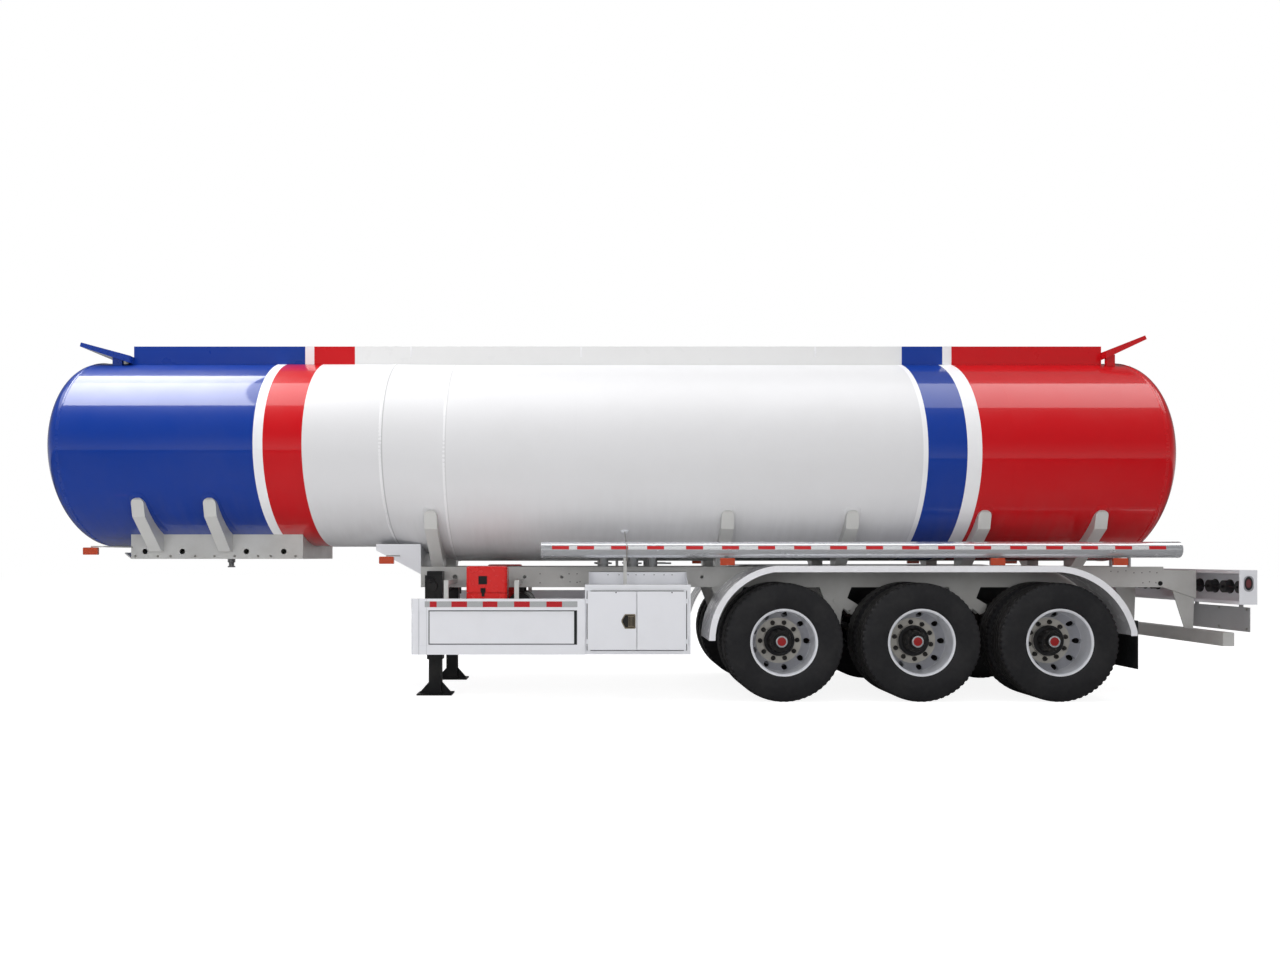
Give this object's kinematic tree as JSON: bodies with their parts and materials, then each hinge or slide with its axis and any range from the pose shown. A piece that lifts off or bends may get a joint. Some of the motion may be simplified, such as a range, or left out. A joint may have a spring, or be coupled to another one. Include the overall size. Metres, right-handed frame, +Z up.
{
  "type": "three-axle road tanker trailer",
  "caption": "Road tanker semi-trailer: oval tank on a short rear frame, sprung axles with twin wheels, landing legs, side cabinets and a roof walkway.",
  "frame": {"origin": "on the ground, in the middle of the length and width", "axes": "+X to the tail, -X to the kingpin, -Y the left side, +Z up"},
  "size_m": [10.85, 2.5, 3.366],
  "materials": {
    "tank_paint": "gloss, blue front and red rear behind white bands",
    "chassis_paint": "satin light grey",
    "white_panel": "gloss white",
    "black_paint": "satin black",
    "wing_blue": "gloss blue",
    "wing_red": "gloss red",
    "wheel_steel": "silver wheel paint, black hub",
    "tyre_rubber": "matt",
    "flap_rubber": "matt",
    "stainless": "bright",
    "aluminium": "satin",
    "spring_steel": "black satin",
    "red_plastic": "gloss",
    "amber_lens": "clear lens look",
    "lamp_red": "lens, black body",
    "plate_blank": "blank plate panel"
  },
  "bodies": {
    "root": {"tank_barrel": "tank_paint", "tank_heads": "tank_paint", "roof_guards": "tank_paint", "walkway": "aluminium", "front_wing": "wing_blue", "rear_wing": "wing_red", "manhole_collars": "aluminium", "vent_pipe": "chassis_paint", "tank_saddles": "chassis_paint", "coupler": "chassis_paint", "kingpin": "spring_steel", "belly_fairing": "white_panel", "frame_beams": "chassis_paint", "crossmembers": "chassis_paint", "spring_hangers": "chassis_paint", "equalisers": "chassis_paint", "leaf_springs": "spring_steel", "spring_clamps": "spring_steel", "axles": "spring_steel", "brake_chambers": "black_paint", "torque_arms": "spring_steel", "mudguards": "white_panel", "mudflaps": "flap_rubber", "landing_gear": "black_paint", "cabinets": "white_panel", "skirts": "white_panel", "outlets": "aluminium", "extinguisher_cases": "red_plastic", "side_tubes": "stainless", "side_brackets": "chassis_paint", "marker_lamps": "amber_lens", "light_bar": "white_panel", "rear_lamps": "lamp_red", "lamp_cables": "flap_rubber", "tail_frame": "chassis_paint", "plate_panel": "plate_blank", "ladder": "aluminium", "air_tanks": "black_paint"},
    "manhole_lid_1": {"manhole_lid_1": "aluminium"},
    "manhole_lid_2": {"manhole_lid_2": "aluminium"},
    "manhole_lid_3": {"manhole_lid_3": "aluminium"},
    "wheels_1_left": {"tyres_1_left": "tyre_rubber", "wheel_1_left": "wheel_steel"},
    "wheels_1_right": {"tyres_1_right": "tyre_rubber", "wheel_1_right": "wheel_steel"},
    "wheels_2_left": {"tyres_2_left": "tyre_rubber", "wheel_2_left": "wheel_steel"},
    "wheels_2_right": {"tyres_2_right": "tyre_rubber", "wheel_2_right": "wheel_steel"},
    "wheels_3_left": {"tyres_3_left": "tyre_rubber", "wheel_3_left": "wheel_steel"},
    "wheels_3_right": {"tyres_3_right": "tyre_rubber", "wheel_3_right": "wheel_steel"},
    "door_left_front": {"door_left_front": "white_panel"},
    "door_left_rear": {"door_left_rear": "white_panel"},
    "extinguisher_lid_left": {"extinguisher_lid_left": "red_plastic"},
    "door_right_front": {"door_right_front": "white_panel"},
    "door_right_rear": {"door_right_rear": "white_panel"},
    "extinguisher_lid_right": {"extinguisher_lid_right": "red_plastic"}
  },
  "joints": [
    {"name": "manhole_lid_1_hinge", "type": "hinge", "parent": "root", "child": "manhole_lid_1", "pos_m": [-3.214, 0, 3.251], "axis": [0, 1, 0], "range_deg": [0, 105]},
    {"name": "manhole_lid_2_hinge", "type": "hinge", "parent": "root", "child": "manhole_lid_2", "pos_m": [0.036, 0, 3.251], "axis": [0, 1, 0], "range_deg": [0, 105]},
    {"name": "manhole_lid_3_hinge", "type": "hinge", "parent": "root", "child": "manhole_lid_3", "pos_m": [3.136, 0, 3.251], "axis": [0, 1, 0], "range_deg": [0, 105]},
    {"name": "wheels_1_left_spin", "type": "hinge", "parent": "root", "child": "wheels_1_left", "pos_m": [1.273, -0.943, 0.525], "axis": [0, 1, 0], "continuous": true},
    {"name": "wheels_1_right_spin", "type": "hinge", "parent": "root", "child": "wheels_1_right", "pos_m": [1.273, 0.943, 0.525], "axis": [0, 1, 0], "continuous": true},
    {"name": "wheels_2_left_spin", "type": "hinge", "parent": "root", "child": "wheels_2_left", "pos_m": [2.484, -0.943, 0.525], "axis": [0, 1, 0], "continuous": true},
    {"name": "wheels_2_right_spin", "type": "hinge", "parent": "root", "child": "wheels_2_right", "pos_m": [2.484, 0.943, 0.525], "axis": [0, 1, 0], "continuous": true},
    {"name": "wheels_3_left_spin", "type": "hinge", "parent": "root", "child": "wheels_3_left", "pos_m": [3.7, -0.943, 0.525], "axis": [0, 1, 0], "continuous": true},
    {"name": "wheels_3_right_spin", "type": "hinge", "parent": "root", "child": "wheels_3_right", "pos_m": [3.7, 0.943, 0.525], "axis": [0, 1, 0], "continuous": true},
    {"name": "door_left_front_hinge", "type": "hinge", "parent": "root", "child": "door_left_front", "pos_m": [-0.469, -1.24, 0.7], "axis": [0, 0, -1], "range_deg": [0, 110]},
    {"name": "door_left_rear_hinge", "type": "hinge", "parent": "root", "child": "door_left_rear", "pos_m": [0.424, -1.24, 0.7], "axis": [0, 0, 1], "range_deg": [0, 110]},
    {"name": "extinguisher_lid_left_hinge", "type": "hinge", "parent": "root", "child": "extinguisher_lid_left", "pos_m": [-1.3445, -0.932, 0.9625], "axis": [-1, 0, 0], "range_deg": [0, 90]},
    {"name": "door_right_front_hinge", "type": "hinge", "parent": "root", "child": "door_right_front", "pos_m": [-0.469, 1.24, 0.7], "axis": [0, 0, 1], "range_deg": [0, 110]},
    {"name": "door_right_rear_hinge", "type": "hinge", "parent": "root", "child": "door_right_rear", "pos_m": [0.424, 1.24, 0.7], "axis": [0, 0, -1], "range_deg": [0, 110]},
    {"name": "extinguisher_lid_right_hinge", "type": "hinge", "parent": "root", "child": "extinguisher_lid_right", "pos_m": [-1.3445, 0.932, 0.9625], "axis": [1, 0, 0], "range_deg": [0, 90]}
  ]
}
